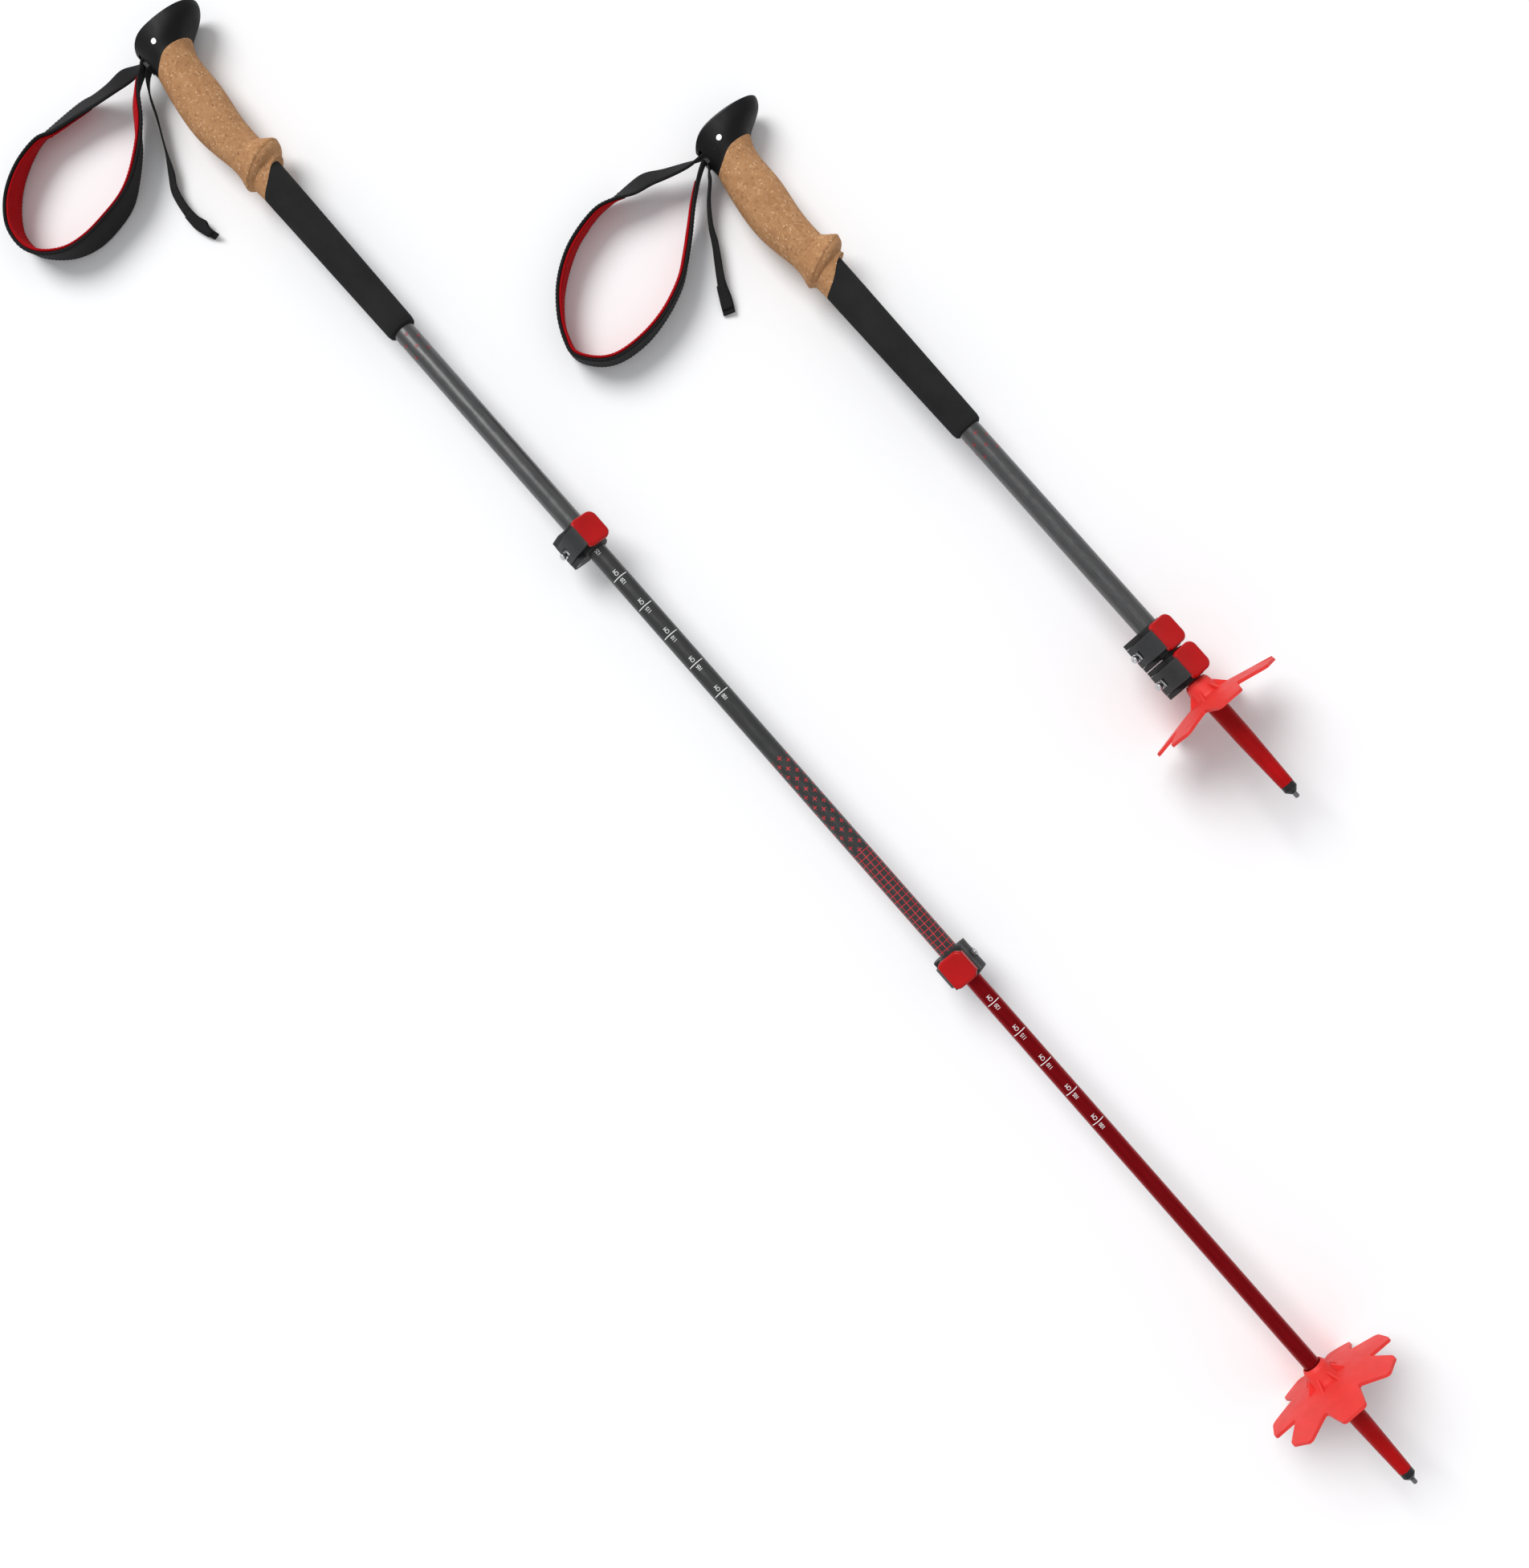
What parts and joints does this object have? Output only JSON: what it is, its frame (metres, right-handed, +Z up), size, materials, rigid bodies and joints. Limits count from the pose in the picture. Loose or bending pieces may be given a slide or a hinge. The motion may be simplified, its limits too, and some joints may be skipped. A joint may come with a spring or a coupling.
{
  "type": "pair of telescoping trekking poles",
  "caption": "Telescoping trekking poles with cork and foam grips, padded wrist straps, lever clamps, screw-on baskets and carbide tips; one drawn out, one pushed in.",
  "frame": {"origin": "under the middle of the pair's box, on the floor the poles lie on", "axes": "+X along the drawn-out pole from its grip to its tip, +Y across the floor from the drawn-out pole to the pushed-in one, +Z up"},
  "size_m": [1.2496, 0.4312, 0.0944],
  "materials": {
    "head_rubber": "satin moulded",
    "cork": "raw flecked cork",
    "foam": "matte closed-cell foam",
    "webbing": "woven",
    "padding": "knitted over padding",
    "upper_tube": "dark satin anodised",
    "middle_tube": "black satin anodised with printed marks",
    "lower_tube": "dark red gloss anodised with printed marks",
    "black_nylon": "fine moulded texture",
    "red_cap": "gloss",
    "grey_arm": "satin",
    "bushing_plastic": "natural",
    "red_nylon": "satin",
    "steel": "turned",
    "pin_alloy": "turned",
    "black_steel": "black oxide",
    "carbide": "ground"
  },
  "bodies": {
    "left_upper": {"left_upper_shaft": "upper_tube", "left_grip_core": "black_nylon", "left_head_cap": "head_rubber", "left_strap_pin": "pin_alloy", "left_strap_wedge": "black_nylon", "left_cork_grip": "cork", "left_foam_extension": "foam", "left_strap_webbing": "webbing", "left_strap_liner": "padding", "left_strap_tail": "webbing", "left_upper_lock_clamp": "black_nylon", "left_upper_lock_hinge_pin": "steel", "left_upper_lock_screw": "steel", "left_upper_lock_nut": "steel"},
    "left_upper_lever": {"left_upper_lock_lever": "red_cap", "left_upper_lock_cam": "grey_arm"},
    "left_middle": {"left_middle_shaft": "middle_tube", "left_middle_bushing": "bushing_plastic", "left_lower_lock_clamp": "black_nylon", "left_lower_lock_hinge_pin": "steel", "left_lower_lock_screw": "steel", "left_lower_lock_nut": "steel"},
    "left_lower_lever": {"left_lower_lock_lever": "red_cap", "left_lower_lock_cam": "grey_arm"},
    "left_lower": {"left_lower_shaft": "lower_tube", "left_lower_bushing": "bushing_plastic", "left_tip_sleeve": "red_nylon", "left_tip_ferrule": "black_steel", "left_carbide_tip": "carbide"},
    "left_basket_body": {"left_basket": "red_nylon"},
    "right_upper": {"right_upper_shaft": "upper_tube", "right_grip_core": "black_nylon", "right_head_cap": "head_rubber", "right_strap_pin": "pin_alloy", "right_strap_wedge": "black_nylon", "right_cork_grip": "cork", "right_foam_extension": "foam", "right_strap_webbing": "webbing", "right_strap_liner": "padding", "right_strap_tail": "webbing", "right_upper_lock_clamp": "black_nylon", "right_upper_lock_hinge_pin": "steel", "right_upper_lock_screw": "steel", "right_upper_lock_nut": "steel"},
    "right_upper_lever": {"right_upper_lock_lever": "red_cap", "right_upper_lock_cam": "grey_arm"},
    "right_middle": {"right_middle_shaft": "middle_tube", "right_middle_bushing": "bushing_plastic", "right_lower_lock_clamp": "black_nylon", "right_lower_lock_hinge_pin": "steel", "right_lower_lock_screw": "steel", "right_lower_lock_nut": "steel"},
    "right_lower_lever": {"right_lower_lock_lever": "red_cap", "right_lower_lock_cam": "grey_arm"},
    "right_lower": {"right_lower_shaft": "lower_tube", "right_lower_bushing": "bushing_plastic", "right_tip_sleeve": "red_nylon", "right_tip_ferrule": "black_steel", "right_carbide_tip": "carbide"},
    "right_basket_body": {"right_basket": "red_nylon"}
  },
  "joints": [
    {"name": "left_upper_lever_hinge", "type": "hinge", "parent": "left_upper", "child": "left_upper_lever", "pos_m": [-0.1764, -0.0778, 0.02632], "axis": [0.9997, 0, 0.0251], "range_deg": [0, 125]},
    {"name": "left_middle_slide", "type": "slide", "parent": "left_upper", "child": "left_middle", "axis": [0.9997, 0, 0.0251], "range_m": [-0.346, 0.025]},
    {"name": "left_lower_lever_hinge", "type": "hinge", "parent": "left_middle", "child": "left_lower_lever", "pos_m": [0.19275, -0.07075, 0.02499], "axis": [0.9997, 0, 0.0251], "range_deg": [0, 125]},
    {"name": "left_lower_slide", "type": "slide", "parent": "left_middle", "child": "left_lower", "axis": [0.9997, 0, 0.0251], "range_m": [-0.323, 0.025]},
    {"name": "left_basket_turn", "type": "hinge", "parent": "left_lower", "child": "left_basket_body", "pos_m": [0.53882, -0.06291, 0.04653], "axis": [0.9997, 0, 0.0251], "continuous": true},
    {"name": "right_pole_lift", "type": "slide", "parent": "left_upper", "child": "right_upper", "axis": [0, 0, 1], "range_m": [0, 0.25]},
    {"name": "right_upper_lever_hinge", "type": "hinge", "parent": "right_upper", "child": "right_upper_lever", "pos_m": [0.11875, 0.15338, 0.04067], "axis": [0.9982, -0.0071, 0.059], "range_deg": [0, 125]},
    {"name": "right_middle_slide", "type": "slide", "parent": "right_upper", "child": "right_middle", "axis": [0.9982, -0.0071, 0.059], "range_m": [0, 0.371]},
    {"name": "right_lower_lever_hinge", "type": "hinge", "parent": "right_middle", "child": "right_lower_lever", "pos_m": [0.14171, 0.15322, 0.04202], "axis": [0.9982, -0.0071, 0.059], "range_deg": [0, 125]},
    {"name": "right_lower_slide", "type": "slide", "parent": "right_middle", "child": "right_lower", "axis": [0.9982, -0.0071, 0.059], "range_m": [0, 0.348]},
    {"name": "right_basket_turn", "type": "hinge", "parent": "right_lower", "child": "right_basket_body", "pos_m": [0.16512, 0.16785, 0.04618], "axis": [0.9982, -0.0071, 0.059], "continuous": true}
  ]
}
